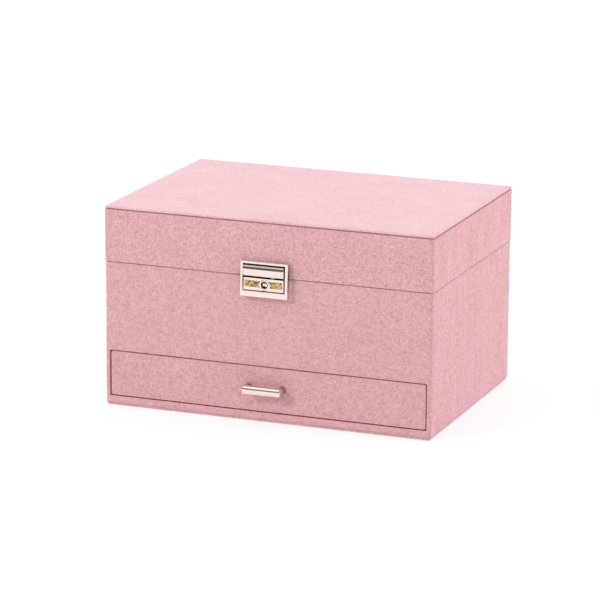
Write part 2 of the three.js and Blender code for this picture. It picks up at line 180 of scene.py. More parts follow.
def suedette(name, base, grain=0.19, cloud=0.03, streak=0.0, sheen=0.9, shift=(0, 0, 0), stretch=(1, 1, 1)):
    """Short-nap suede cloth: fine grain with pits, soft patches where the nap lies over, pale bloom at a grazing look."""
    m = Nodes(name)
    v = m.coords(scale=stretch, shift=shift)
    fine = m.noise(v, 1250, 3.0, 0.62)
    mid = m.noise(v, 480, 2.0, 0.5)
    nap = m.math("ADD", m.math("MULTIPLY", fine, 0.74), m.math("MULTIPLY", mid, 0.26))
    # equal steps of tone in every channel: the tips of the nap are paler, its roots deeper
    step = (0.69, 0.70, 0.79)
    dark = tuple(max(0.02, c - grain * k) for c, k in zip(base, step))
    light = tuple(c + grain * k for c, k in zip(base, step))
    col = m.mix(m.ramp(nap, [(0.34, 0.0), (0.66, 1.0)]), dark, light)
    pits = m.ramp(m.voronoi(v, 300), [(0.05, 1.0), (0.17, 0.0)])
    col = m.mix(m.math("MULTIPLY", pits, 0.35), col, tuple(max(0.02, c - 1.4 * grain * k) for c, k in zip(base, step)))
    patches = m.noise(m.coords(scale=(30, 30, 24), shift=shift), 1.0, 4.0, 0.6, 1.2)
    col = m.mix(1.0, col, m.ramp(patches, [(0.3, 1 - cloud), (0.7, 1 + cloud)]), "MULTIPLY")
    if streak:
        # end walls: the nap has been stroked up and down, in bands of a warmer and a cooler tone
        tc = m.t.nodes.new("ShaderNodeTexCoord")
        sp = m.t.nodes.new("ShaderNodeSeparateXYZ")
        m.link(tc.outputs["Normal"], sp.inputs[0])
        ends = m.ramp(m.math("ABSOLUTE", sp.outputs["X"]), [(0.35, 0.0), (0.9, 1.0)])
        bands = m.noise(m.coords(scale=(110, 110, 14), shift=shift), 1.0, 4.0, 0.62, 1.2)
        strokes = m.noise(m.coords(scale=(460, 460, 42), shift=shift), 1.0, 3.0, 0.55, 0.3)
        both = m.math("ADD", m.math("MULTIPLY", bands, 0.6), m.math("MULTIPLY", strokes, 0.4))
        tone = m.ramp(both, [(0.34, (1 - streak, 1 - 1.7 * streak, 1 - 1.25 * streak)), (0.5, (1, 1, 1)), (0.66, (1 + streak * 0.9, 1 + 1.5 * streak, 1 + 1.1 * streak))])
        hue = m.ramp(m.noise(m.coords(scale=(24, 24, 9), shift=shift), 1.0, 2.0, 0.5, 1.0), [(0.35, (1.01, 0.99, 0.965)), (0.65, (0.995, 0.985, 1.02))])
        col = m.mix(ends, col, m.mix(1.0, m.mix(1.0, col, tone, "MULTIPLY"), hue, "MULTIPLY"))
    height = m.math("SUBTRACT", nap, m.math("MULTIPLY", pits, 0.25))
    normal = m.bump(height, 0.00016, 0.5)
    normal = m.bump(patches, 0.0005, 0.2, normal)
    return m.set(color=col, rough=m.ramp(nap, [(0.3, 0.97), (0.7, 0.86)]), normal=normal, sheen=sheen, sheen_rough=0.26, sheen_tint=(1.0, 0.95, 0.96), spec=0.08)


def velvet(name, base, grain=0.10, sheen=0.8, shift=(0, 0, 0)):
    m = Nodes(name)
    v = m.coords(shift=shift)
    pile = m.noise(m.coords(scale=(1, 1, 1), shift=shift), 2300, 2.0, 0.6)
    lay = m.noise(v, 42, 3.0, 0.55, 0.5)
    col = m.mix(m.ramp(pile, [(0.3, 0.0), (0.7, 1.0)]), shade(base, 1 - grain), shade(base, 1 + grain))
    col = m.mix(1.0, col, m.ramp(lay, [(0.35, 0.93), (0.65, 1.05)]), "MULTIPLY")
    normal = m.bump(pile, 0.00018, 0.5)
    return m.set(color=col, rough=m.ramp(pile, [(0.3, 0.95), (0.7, 0.8)]), normal=normal, sheen=sheen, sheen_rough=0.3, sheen_tint=(1.0, 0.96, 0.95), spec=0.15)


def polished(name, base, rough=0.14, tint=None, scuff=0.05, wave=0.0, shift=(0, 0, 0)):
    """Plated metal: slight cloudiness, hairline polishing marks and dulled spots."""
    m = Nodes(name)
    v = m.coords(shift=shift)
    cloud = m.noise(v, 260, 3.0, 0.55)
    hair = m.noise(m.coords(scale=(300, 5200, 5200), shift=shift), 1.0, 2.0, 0.5)
    spots = m.ramp(m.noise(v, 900, 2.0, 0.6), [(0.62, 0.0), (0.78, 1.0)])
    col = m.mix(m.ramp(cloud, [(0.3, 0.0), (0.7, 1.0)]), shade(base, 0.95), shade(base, 1.03))
    if tint is not None:
        col = m.mix(m.ramp(m.noise(v, 330, 2.0, 0.6, 0.9), [(0.44, 0.0), (0.58, 0.85)]), col, tint)
    r = m.math("ADD", m.math("MULTIPLY", cloud, 0.06), rough - 0.03)
    r = m.math("ADD", r, m.math("MULTIPLY", spots, scuff))
    normal = m.bump(hair, 0.000006, 0.5)
    if wave:
        normal = m.bump(m.noise(v, 330, 2.0, 0.5, 0.4), wave, 1.0, normal)
    return m.set(color=col, rough=r, metal=1.0, normal=normal)


def steel_plain(name, base, rough=0.3):
    m = Nodes(name)
    v = m.coords()
    turned = m.noise(m.coords(scale=(900, 2600, 2600)), 1.0, 2.0, 0.5)
    cloud = m.noise(v, 340, 2.0, 0.5)
    col = m.mix(cloud, shade(base, 0.9), shade(base, 1.06))
    return m.set(color=col, rough=m.math("ADD", m.math("MULTIPLY", turned, 0.14), rough - 0.07), metal=1.0, normal=m.bump(turned, 0.00001, 0.5))


def lining_board(name, base):
    """Fibreboard faced with pale lining paper."""
    m = Nodes(name)
    v = m.coords()
    fibre = m.noise(m.coords(scale=(700, 1500, 1500)), 1.0, 3.0, 0.6)
    fleck = m.ramp(m.voronoi(v, 900), [(0.0, 0.0), (0.16, 1.0)])
    col = m.mix(fibre, shade(base, 0.93), shade(base, 1.05))
    col = m.mix(m.math("SUBTRACT", 1.0, fleck), col, shade(base, 0.8))
    return m.set(color=col, rough=m.ramp(fibre, [(0.2, 0.9), (0.8, 0.7)]), normal=m.bump(fibre, 0.00006, 0.6), spec=0.25)


def mirror_glass(name):
    m = Nodes(name)
    haze = m.noise(m.coords(), 45, 3.0, 0.6)
    col = m.mix(haze, (0.90, 0.925, 0.93), (0.94, 0.955, 0.955))
    return m.set(color=col, rough=m.math("MULTIPLY", haze, 0.03), metal=1.0, coat=1.0, coat_rough=0.01)


PINK = (0.675, 0.376, 0.40)
SUEDE = suedette("suedette_walls", PINK, streak=0.07)
SUEDE_LID = suedette("suedette_lid", PINK, streak=0.07, shift=(0.31, 0.12, 0.4))
# the top panel's suedette is a paler copy of the walls': painted light for the brighter, sheen-lit top
SUEDE_TOP_LIT = suedette("suedette_top_painted_light", (0.76, 0.468, 0.505), grain=0.155, cloud=0.045, shift=(0.7, 0.2, 0.1), stretch=(0.8, 1, 1))
SUEDE_DRAWER = suedette("suedette_drawer", shade(PINK, 0.98), grain=0.16, shift=(0.15, 0.55, 0.23))
# a darker, redder suedette for the turned edge inside the drawer opening: painted shade
SUEDE_EDGE_SHADE = suedette("suedette_turned_edge_painted_shade", (0.60, 0.165, 0.155), grain=0.05, cloud=0.02, sheen=0.2, shift=(0.25, 0.35, 0.13))
# a darker suedette for the groove under the top panel: painted shade
SUEDE_GROOVE_SHADE = suedette("suedette_groove_painted_shade", (0.50, 0.235, 0.245), grain=0.03, cloud=0.02, sheen=0.05, shift=(0.45, 0.25, 0.33))
# the base panel's suedette is a darker copy of the walls': painted shade under the chest
SUEDE_BASE_SHADED = suedette("suedette_base_painted_shade", shade(PINK, 0.93), shift=(0.5, 0.15, 0.63))
BLUSH = (0.78, 0.60, 0.585)
VELVET = velvet("velvet_lining", BLUSH)
VELVET_PAD = velvet("velvet_pads", shade(BLUSH, 1.04), shift=(0.2, 0.4, 0.1))
VELVET_ROLL = velvet("velvet_rolls", shade(BLUSH, 1.06), shift=(0.6, 0.1, 0.3))
NICKEL = (0.88, 0.745, 0.695)
METAL = polished("nickel_bright", NICKEL, rough=0.13)
METAL_PULL = polished("nickel_pull", NICKEL, rough=0.12, shift=(0.2, 0.1, 0))
METAL_LOCK = polished("gilt_lock_panel", (0.72, 0.43, 0.22), rough=0.2, tint=(0.30, 0.17, 0.08), wave=0.0001)
# the pull's posts are a darker, redder nickel: painted shade, which also dims their reflections
METAL_POST_SHADED = polished("nickel_posts_painted_shade", (0.52, 0.37, 0.36), rough=0.24, shift=(0.3, 0.6, 0.1))
# a browner nickel for the groove band on the hasp plate: painted shade and dark reflection
METAL_GROOVE_SHADE = polished("nickel_groove_painted_shade", (0.86, 0.62, 0.45), rough=0.16, shift=(0.1, 0.5, 0.3))
METAL_HINGE = polished("nickel_hinge", shade(NICKEL, 0.97), rough=0.2, shift=(0.4, 0.3, 0.2))
# near-black metal for the walls inside the lock's window, its gaps and back plates: painted shade
SHADE_BLACK_METAL = steel_plain("lock_inside_painted_shade", (0.02, 0.017, 0.016), 0.42)
STEEL = steel_plain("zinc_steel", (0.72, 0.71, 0.69), 0.28)
BOARD = lining_board("lining_paper_board", (0.76, 0.62, 0.60))
MIRROR = mirror_glass("silvered_mirror")


# ------------------------------------------------------------------ mesh helpers (millimetres)
def steps(cuts, step):
    """The cuts, with even points between them no further apart than step."""
    out = [cuts[0]]
    for a, b in zip(cuts, cuts[1:]):
        n = max(1, math.ceil((b - a) / step - 1e-6))
        out += [a + (b - a) * i / n for i in range(1, n + 1)]
    return out


def grid_box(X, Y, Z, keep=lambda side, c: True):
    """A box's surface as quads on the given coordinates. keep(side, centre) leaves faces out; side is x0 x1 y0 y1 z0 z1."""
    bm = bmesh.new()
    verts = {}

    def v(x, y, z):
        k = (round(x, 5), round(y, 5), round(z, 5))
        if k not in verts:
            verts[k] = bm.verts.new((x, y, z))
        return verts[k]

    def quad(side, pts):
        c = Vector([sum(p[i] for p in pts) / 4 for i in range(3)])
        if keep(side, c):
            bm.faces.new([v(*p) for p in pts])

    for a, b in zip(X, X[1:]):
        for c, d in zip(Y, Y[1:]):
            quad("z1", [(a, c, Z[-1]), (b, c, Z[-1]), (b, d, Z[-1]), (a, d, Z[-1])])
            quad("z0", [(a, c, Z[0]), (a, d, Z[0]), (b, d, Z[0]), (b, c, Z[0])])
        for c, d in zip(Z, Z[1:]):
            quad("y0", [(a, Y[0], c), (b, Y[0], c), (b, Y[0], d), (a, Y[0], d)])
            quad("y1", [(a, Y[-1], c), (a, Y[-1], d), (b, Y[-1], d), (b, Y[-1], c)])
    for a, b in zip(Y, Y[1:]):
        for c, d in zip(Z, Z[1:]):
            quad("x0", [(X[0], a, c), (X[0], a, d), (X[0], b, d), (X[0], b, c)])
            quad("x1", [(X[-1], a, c), (X[-1], b, c), (X[-1], b, d), (X[-1], a, d)])
    bm.normal_update()
    return bm


def rim(bm, test):
    """Open edges whose two ends both pass the test."""
    return [e for e in bm.edges if len(e.link_faces) == 1 and all(test(v.co) for v in e.verts)]


def fold(bm, edges, move):
    """Extrudes open edges and moves the new rim by move(co) -> new co. Returns the new rim's edges."""
    r = bmesh.ops.extrude_edge_only(bm, edges=edges)
    new = [g for g in r["geom"] if isinstance(g, bmesh.types.BMVert)]
    for v in new:
        v.co = move(v.co.copy())
    nv = set(new)
    return [e for e in bm.edges if e.verts[0] in nv and e.verts[1] in nv]


def bevel(bm, edges, r, segments=3, profile=0.5):
    edges = [e for e in edges if e.is_valid]
    if edges:
        bmesh.ops.bevel(bm, geom=edges, offset=r, offset_type="OFFSET", segments=segments, profile=profile, affect="EDGES", clamp_overlap=True)


def sharp(bm, degrees=30, test=None):
    bm.normal_update()
    return [e for e in bm.edges if len(e.link_faces) == 2 and e.calc_face_angle(0) > math.radians(degrees)
            and (test is None or all(test(v.co) for v in e.verts))]


def near(a, b, tol=0.02):
    return abs(a - b) < tol


def ripple(bm, amount, size, seed=0.0, test=None):
    """Moves the surface in and out a little, as cloth glued on board does."""
    bm.normal_update()
    for v in bm.verts:
        if test is None or test(v.co):
            n = noise.noise((v.co / size) + Vector((seed, seed * 0.37, -seed)))
            v.co += v.normal * (n * amount)


def finish_mesh(bm, name, body, mat, replaces=(), angle=None, thick=0.0, weighted=False, subdivide=0):
    bmesh.ops.recalc_face_normals(bm, faces=bm.faces[:]) if thick == 0 else None
    me = bpy.data.meshes.new(name)
    bm.to_mesh(me)
    bm.free()
    me.transform(Matrix.Scale(MM, 4))
    o = bpy.data.objects.new(name, me)
    scene.collection.objects.link(o)
    me.polygons.foreach_set("use_smooth", [True] * len(me.polygons))
    if angle is not None:
        me.set_sharp_from_angle(angle=math.radians(angle))
    for m in mat if isinstance(mat, (list, tuple)) else [mat]:
        me.materials.append(m)
    if thick:
        s = o.modifiers.new("thickness", "SOLIDIFY")
        s.thickness, s.offset = thick * MM, -1
        s.use_even_offset = True
    if subdivide:
        s = o.modifiers.new("fine", "SUBSURF")
        s.levels = s.render_levels = subdivide
    if weighted:
        w = o.modifiers.new("normals", "WEIGHTED_NORMAL")
        w.keep_sharp = True
    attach(o, body)
    if replaces:
        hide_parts(*replaces)
    return o


def body_of(node):
    for b, members in frame["record"]["behaviour"]["bodies"].items():
        if node in members:
            return b


def no_slivers(bm):
    """Takes out the zero-area faces that a bevel can leave."""
    bmesh.ops.dissolve_degenerate(bm, dist=0.002, edges=bm.edges[:])
    bmesh.ops.remove_doubles(bm, verts=bm.verts[:], dist=0.0005)


def refined(node, mat, r=0.2, segments=3, degrees=25, name=None):
    """A rigid CAD piece with its edges softened as on the real one."""
    bm = bmesh.new()
    bm.from_mesh(frame["nodes"][node].data)
    bmesh.ops.scale(bm, vec=(1000, 1000, 1000), verts=bm.verts[:])
    bmesh.ops.remove_doubles(bm, verts=bm.verts[:], dist=0.002)
    bmesh.ops.dissolve_limit(bm, angle_limit=math.radians(0.8), verts=bm.verts[:], edges=bm.edges[:])
    if r:
        bevel(bm, sharp(bm, degrees), r, segments)
    no_slivers(bm)
    return finish_mesh(bm, name or node + "_made", body_of(node), mat, (node,), angle=40, weighted=True)


def soft_box(lo, hi, r, step=None, segments=3):
    """A box with rounded edges and, where a step is given, a grid on its faces no coarser than it."""
    step = step or 1e9
    X, Y, Z = (steps([lo[i], hi[i]], step) for i in range(3))
    bm = grid_box(X, Y, Z)
    bevel(bm, sharp(bm, 60), r, segments)
    return bm


def turned(profile, sides=64):
    """A solid of revolution about +Y from (radius, y) points, closed on the axis."""
    bm = bmesh.new()
    rings = []
    for r, y in profile:
        if r < 1e-6:
            rings.append([bm.verts.new((0, y, 0))])
        else:
            rings.append([bm.verts.new((r * math.cos(2 * math.pi * i / sides), y, r * math.sin(2 * math.pi * i / sides))) for i in range(sides)])
    for a, b in zip(rings, rings[1:]):
        for i in range(sides):
            j = (i + 1) % sides
            ring = [a[i % len(a)], a[j % len(a)], b[j % len(b)], b[i % len(b)]]
            face = list(dict.fromkeys(ring))
            if len(face) > 2:
                bm.faces.new(face)
    bmesh.ops.recalc_face_normals(bm, faces=bm.faces[:])
    return bm


def arc(cx, cy, r, a0, a1, n):
    return [(cx + r * math.cos(math.radians(a0 + (a1 - a0) * i / n)), cy + r * math.sin(math.radians(a0 + (a1 - a0) * i / n))) for i in range(n + 1)]


def move(bm, x=0.0, y=0.0, z=0.0):
    bmesh.ops.translate(bm, vec=(x, y, z), verts=bm.verts[:])
    return bm


def cut(obj, cutter):
    """Cuts cutter's mesh out of obj's and throws the cutter away. Both are plain meshes in place."""
    b = obj.modifiers.new("cut", "BOOLEAN")
    b.operation, b.solver, b.object = "DIFFERENCE", "EXACT", cutter
    bpy.context.view_layer.update()
    dg = bpy.context.evaluated_depsgraph_get()
    me = bpy.data.meshes.new_from_object(obj.evaluated_get(dg))
    obj.modifiers.remove(b)
    old = obj.data
    obj.data = me
    me.name = old.name
    bpy.data.objects.remove(cutter)


def loose(bm, name):
    me = bpy.data.meshes.new(name)
    bm.to_mesh(me)
    bm.free()
    o = bpy.data.objects.new(name, me)
    scene.collection.objects.link(o)
    return o


# ------------------------------------------------------------------ suedette coverings
def wall_cover(node, name, mat, body, opening=None, seed=0.0, top_in=3.0, top_down=9.0, bottom_in=2.6, bottom_up=0.0, r_corner=1.3, r_top=0.52, r_bottom=0.75, step=5.0, top=None):
    lo, hi = box_mm(node)
    if top is not None:
        hi.z = top
    zc = [lo.z] + ([opening[2], opening[3]] if opening else []) + [hi.z]
    xc = [lo.x] + ([opening[0], opening[1]] if opening else []) + [hi.x]
    X, Y, Z = steps(xc, step), steps([lo.y, hi.y], step), steps(zc, step)

    def keep(side, c):
        if side in ("z0", "z1"):
            return False
        if opening and side == "y0":
            return not (opening[0] < c.x < opening[1] and opening[2] < c.z < opening[3])
        return True

    bm = grid_box(X, Y, Z, keep)

    def inward(d):
        kx, ky = (hi.x - d) / hi.x, (hi.y - d) / hi.y
        return lambda co: Vector((co.x * kx, co.y * ky, co.z))

    def lift(dz):
        return lambda co: Vector((co.x, co.y, co.z + dz))

    e = fold(bm, rim(bm, lambda c: near(c.z, hi.z)), inward(top_in))
    if top_down:
        fold(bm, e, lift(-top_down))
    e = fold(bm, rim(bm, lambda c: near(c.z, lo.z)), inward(bottom_in))
    if bottom_up:
        fold(bm, e, lift(bottom_up))
    if opening:
        e = fold(bm, rim(bm, lambda c: near(c.y, lo.y)), lambda co: Vector((co.x, co.y + 6.0, co.z)))
    bm.normal_update()
    upright = [e for e in sharp(bm, 60) if all(near(abs(v.co.x), hi.x) and near(abs(v.co.y), hi.y) for v in e.verts)]
    bevel(bm, upright, r_corner, 5)
    bevel(bm, [e for e in sharp(bm, 60) if all(near(v.co.z, hi.z) for v in e.verts)], r_top, 4)
    bevel(bm, [e for e in sharp(bm, 60) if all(near(v.co.z, lo.z) for v in e.verts)], r_bottom, 4)
    if opening:
        def corner(v):
            return (near(v.co.x, opening[0]) or near(v.co.x, opening[1])) and (near(v.co.z, opening[2]) or near(v.co.z, opening[3]))
        bevel(bm, [e for e in bm.edges if all(corner(v) for v in e.verts) and abs(e.verts[0].co.y - e.verts[1].co.y) > 1], 1.1, 4)

        def on_opening(v):
            c = v.co
            return near(c.y, lo.y) and opening[0] - 0.05 < c.x < opening[1] + 0.05 and opening[2] - 0.05 < c.z < opening[3] + 0.05
        bevel(bm, [e for e in sharp(bm, 60) if all(on_opening(v) for v in e.verts)], 0.55, 3)
    ripple(bm, 0.07, 24.0, seed, lambda c: True)
    ripple(bm, 0.03, 6.0, seed + 4.1)
    if top is not None:
        # the edge turned in under the top panel takes the darker groove suedette: painted shade in the groove
        for f in bm.faces:
            if f.normal.z > 0.6 and f.calc_center_median().z > top - 1.2:
                f.material_index = 1
    if opening:
        # the turned edge inside the opening takes a darker, redder suedette: painted shade for the edge that is out of
        # the light
        for f in bm.faces:
            c = f.calc_center_median()
            if c.y < lo.y + 7 and abs(f.normal.y) < 0.35 and opening[0] - 0.3 < c.x < opening[1] + 0.3 and opening[2] - 0.3 < c.z < opening[3] + 0.3:
                f.material_index = 1
    return finish_mesh(bm, name, body, [mat, SUEDE_EDGE_SHADE if opening else SUEDE_GROOVE_SHADE], (node,), thick=0.42, weighted=False)


BAY = (-116.6, 116.6, 6.8, 39.6)
chest_cover = wall_cover("chest_cover", "chest_suedette", SUEDE, "chest", opening=BAY, seed=1.3, r_bottom=0.45)
lid_lo, lid_hi = box_mm("lid_cover")
lid_cover = wall_cover("lid_cover", "lid_suedette", SUEDE_LID, "lid", seed=5.2, top_in=3.0, top_down=0.0, bottom_in=3.1, bottom_up=9.0, r_top=0.85, r_bottom=0.42, top=lid_hi.z - 0.35)

# top panel: a wrapped board of its own
lo, hi = box_mm("top_panel")
bm = grid_box(steps([lo.x, hi.x], 5.0), steps([lo.y, hi.y], 5.0), [lo.z + 0.05, hi.z])
bevel(bm, [e for e in sharp(bm, 60) if abs(e.verts[0].co.z - e.verts[1].co.z) > 0.5], 1.1, 4)
bevel(bm, sharp(bm, 60), 0.8, 5)
ripple(bm, 0.06, 30.0, 8.0)
bm.normal_update()
# the panel's underside and the low part of its rounding take the darker groove suedette: painted shade in the groove
for f in bm.faces:
    if f.normal.z < -0.55:
        f.material_index = 1
top_panel = finish_mesh(bm, "top_panel_suedette", "lid", [SUEDE_TOP_LIT, SUEDE_GROOVE_SHADE], ("top_panel",))

# the covering's turned edge lies over the lid boards' top, so no bare board shows in the groove; it is made in the
# darker groove suedette, painted shade
board_lo, board_hi = box_mm("lid_board_left")
gx, gy, gt = -board_lo.x + 0.07, board_hi.y + 0.07, board_hi.z + 0.03
bm = grid_box(steps([-gx, gx], 5.0), steps([-gy, gy], 5.0), [gt - 1.3, gt], lambda side, c: side not in ("z0", "z1"))
fold(bm, rim(bm, lambda c: near(c.z, gt)), lambda co: Vector((co.x * (gx - 1.2) / gx, co.y * (gy - 1.2) / gy, co.z)))
bevel(bm, [e for e in sharp(bm, 60) if abs(e.verts[0].co.z - e.verts[1].co.z) > 0.5], 0.3, 3)
bevel(bm, [e for e in sharp(bm, 60) if all(near(v.co.z, gt) for v in e.verts)], 0.2, 3)
ripple(bm, 0.02, 20.0, 6.3)
finish_mesh(bm, "lid_groove_lining", "lid", SUEDE_GROOVE_SHADE, ("lid_cover",), thick=0.05)

# base panel, in the darker copy of the walls' suedette: painted shade under the chest
lo, hi = box_mm("base_panel")
lo, hi = lo - Vector((1.2, 1.2, 0)), hi + Vector((1.2, 1.2, 0))
bm = grid_box(steps([lo.x, hi.x], 6.0), steps([lo.y, hi.y], 6.0), [lo.z, hi.z])
bevel(bm, [e for e in sharp(bm, 60) if abs(e.verts[0].co.z - e.verts[1].co.z) > 0.5], 1.8, 5)
bevel(bm, [e for e in sharp(bm, 60) if all(near(v.co.z, lo.z) for v in e.verts)], 1.4, 5)
bevel(bm, [e for e in sharp(bm, 60) if all(near(v.co.z, hi.z) for v in e.verts)], 0.2, 2)
base_panel = finish_mesh(bm, "base_panel_suedette", "chest", SUEDE_BASE_SHADED, ("base_panel",))

# drawer front covering: face and four turned edges
lo, hi = box_mm("drawer_front_cover")
lo, hi = lo + Vector((0.3, 0.0, 0.14)), hi - Vector((0.12, 0.0, 0.14))
bm = grid_box(steps([lo.x, hi.x], 4.0), [lo.y, hi.y], steps([lo.z, hi.z], 4.0), lambda side, c: side != "y1")
bevel(bm, [e for e in sharp(bm, 60) if abs(e.verts[0].co.y - e.verts[1].co.y) > 1], 1.2, 4)
bevel(bm, [e for e in sharp(bm, 50) if all(near(v.co.y, lo.y) for v in e.verts)], 0.7, 4)
fold(bm, rim(bm, lambda c: near(c.y, hi.y)), lambda co: Vector((co.x * 0.985, co.y, lo.z + (hi.z - lo.z) * 0.5 + (co.z - lo.z - (hi.z - lo.z) * 0.5) * 0.9)))
ripple(bm, 0.06, 20.0, 3.7)
ripple(bm, 0.025, 6.0, 2.2)
drawer_cover = finish_mesh(bm, "drawer_front_suedette", "drawer", SUEDE_DRAWER, ("drawer_front_cover",), thick=0.4)

# ------------------------------------------------------------------ boards, inside walls
for n in ("bottom_board", "side_board_left", "side_board_right", "drawer_deck", "front_board", "back_board",
          "lid_board_left", "lid_board_right", "lid_board_front", "lid_board_back", "lid_deck", "drawer_front", "drawer_bottom"):
    inside = n.startswith("lid_board")
    refined(n, VELVET if inside else BOARD, 0.7, 3)
for n in ("liner_front", "liner_back", "liner_left", "liner_right", "compartment_divider", "drawer_side_left", "drawer_side_right", "drawer_back",
          "drawer_divider", "tray_base", "tray_frame", "tray_divider_long", "tray_divider_ring", "tray_divider_small"):
    refined(n, VELVET, 0.55, 4)

# ------------------------------------------------------------------ metalwork
for side in ("left", "right"):
    for where in ("lower", "upper"):
        refined(f"hinge_leaf_{where}_{side}", METAL_HINGE, 0.12, 2)
    refined(f"hinge_pin_{side}", STEEL, 0.15, 2)
refined("lock_cam", STEEL, 0.1, 2)
refined("mirror_frame", METAL_HINGE, 0.5, 3)

# pull: round bar with softened ends on two round posts with small foot flanges
lo, hi = box_mm("pull_handle")
axis_y, axis_z, bar_r = lo.y + 3.0, (lo.z + hi.z) / 2, 3.0
half = (hi.x - lo.x) / 2
wall_y = hi.y
half = 14.2
end = 1.5
prof = [(0.0, -half)] + [(bar_r - end + r, y) for r, y in arc(0, -half + end, end, -90, 0, 8)] + [(bar_r - end + r, y) for r, y in arc(0, half - end, end, 0, 90, 8)] + [(0.0, half)]
bm = turned(prof, 96)
bmesh.ops.rotate(bm, matrix=Matrix.Rotation(math.radians(90), 3, "Z"), verts=bm.verts[:])
for v in bm.verts:
    # a superellipse section: as tall and deep as the round bar, a little fuller below
    a = math.atan2(v.co.z, v.co.y)
    n = 2.15 if a > 0 else 3.2
    k = (abs(math.cos(a)) ** n + abs(math.sin(a)) ** n) ** (-1 / n)
    v.co.y *= k
    v.co.z *= k
move(bm, 0, axis_y, axis_z)
pull = finish_mesh(bm, "pull_bar", "drawer", METAL_PULL, ("pull_handle",), angle=60)
# the posts are in the darker, redder nickel: painted shade, which also dims their reflections
for x in (-12.4, 12.4):
    foot = wall_y
    p = [(0.0, foot), (2.62, foot), (2.62, foot - 0.3), (2.5, foot - 0.5), (2.44, foot - 0.9), (2.42, foot - 1.5), (2.40, axis_y + 1.6), (0.0, axis_y + 1.6)]
    bm = turned(p, 56)
    move(bm, x, 0, axis_z)
    finish_mesh(bm, "pull_post_" + ("left" if x < 0 else "right"), "drawer", METAL_POST_SHADED, ("pull_handle",), angle=50)


WALL = -84.7


def relief(name, body, replaces, mats, xs, zs, back, depth, pick=None, angle=24):
    """A plate facing -Y as a height field: depth(x, z) is how far its face stands off the wall. Closed behind at depth back."""
    bm = bmesh.new()
    F = [[bm.verts.new((x, WALL - depth(x, z), z)) for z in zs] for x in xs]
    B = [[bm.verts.new((x, WALL - back, z)) for z in zs] for x in xs]
    nx, nz = len(xs), len(zs)
    for i in range(nx - 1):
        for j in range(nz - 1):
            f = bm.faces.new((F[i][j], F[i + 1][j], F[i + 1][j + 1], F[i][j + 1]))
            if pick:
                f.material_index = pick((xs[i] + xs[i + 1]) / 2, (zs[j] + zs[j + 1]) / 2)
            bm.faces.new((B[i][j], B[i][j + 1], B[i + 1][j + 1], B[i + 1][j]))
    # the walls at the top, the bottom and the right end take the last material, near-black on the lock pieces: painted
    # shade in the gaps round the plates
    for i in range(nx - 1):
        for f in ((F[i][0], B[i][0], B[i + 1][0], F[i + 1][0]), (F[i][-1], F[i + 1][-1], B[i + 1][-1], B[i][-1])):
            bm.faces.new(f).material_index = len(mats) - 1 if len(mats) > 1 else 0
    for j in range(nz - 1):
        bm.faces.new((F[0][j], F[0][j + 1], B[0][j + 1], B[0][j]))
        bm.faces.new((F[-1][j], B[-1][j], B[-1][j + 1], F[-1][j + 1])).material_index = len(mats) - 1 if len(mats) > 1 else 0
    bmesh.ops.recalc_face_normals(bm, faces=bm.faces[:])
    return finish_mesh(bm, name, body, mats, replaces, angle=angle)


def profile(points):
    """Linear between (z, d) points, given from low z to high."""
    def at(z):
        for (a, p), (b, q) in zip(points, points[1:]):
            if z <= b:
                return p + (q - p) * max(0.0, (z - a)) / (b - a)
        return points[-1][1]
    return at


# hasp frame: the cast ring, a little thinner towards its top, with rounded arrises; the top and right walls inside the
# window are painted near-black as shade
bm = bmesh.new()
bm.from_mesh(frame["nodes"]["hasp_frame"].data)
bmesh.ops.scale(bm, vec=(1000, 1000, 1000), verts=bm.verts[:])
bmesh.ops.remove_doubles(bm, verts=bm.verts[:], dist=0.002)
bmesh.ops.dissolve_limit(bm, angle_limit=math.radians(0.8), verts=bm.verts[:], edges=bm.edges[:])
for v in bm.verts:
    if v.co.y < -89.0:
        v.co.y += (v.co.z - 89.3) / 24.5 * 0.9
    if near(v.co.x, 15.5, 0.05):
        v.co.x = 15.2
    if near(v.co.x, -15.5, 0.05):
        v.co.x = -15.62
bevel(bm, sharp(bm, 25), 0.4, 4)
bm.normal_update()
for f in bm.faces:
    c = f.calc_center_median()
    inside = abs(c.x) < 15.9 and 92.9 < c.z < 112.4
    if inside and (f.normal.x < -0.8 or f.normal.z < -0.8):
        f.material_index = 1
finish_mesh(bm, "hasp_frame_cast", "lid", [METAL, SHADE_BLACK_METAL], ("hasp_frame",), angle=40, weighted=True)

# upper plate: bevelled top, a groove under it, then a broad soft face; the groove band is painted a browner nickel as
# shade and dark reflection
PX0, PX1 = -15.7, 14.15
up = profile([(103.3, 3.2), (103.6, 3.5), (108.1, 3.62), (108.4, 3.55), (109.0, 3.34), (109.6, 3.09), (110.2, 2.78), (111.05, 2.26)])


def upper_depth(x, z):
    edge = min(x - PX0, PX1 - x)
    crown = 0.14 * max(0.0, 1 - ((z - 105.9) / 2.4) ** 2) * min(1.0, edge / 2.0)
    return up(z) + crown - (max(0.0, 0.45 - edge) * 0.9 if x > 0 else 0.0)


xs = steps([PX0, PX0 + 0.25, PX0 + 0.55, PX1 - 0.55, PX1 - 0.25, PX1], 0.8)
zs = steps([103.3, 103.45, 103.6, 108.1, 108.4, 109.0, 109.6, 110.2, 111.05], 0.4)
relief("hasp_bar_plate", "lid", ("hasp_bar",), [METAL, METAL_GROOVE_SHADE, SHADE_BLACK_METAL], xs, zs, 0.5, upper_depth, lambda x, z: 1 if 108.6 < z < 109.5 else 0)
# near-black back plate behind the upper plate: painted shade in the gaps round it
relief("hasp_bar_backplate", "lid", ("hasp_bar",), [SHADE_BLACK_METAL], steps([-15.6, 15.0], 6), steps([103.3, 111.9], 4), 0.12, lambda x, z: 0.42)

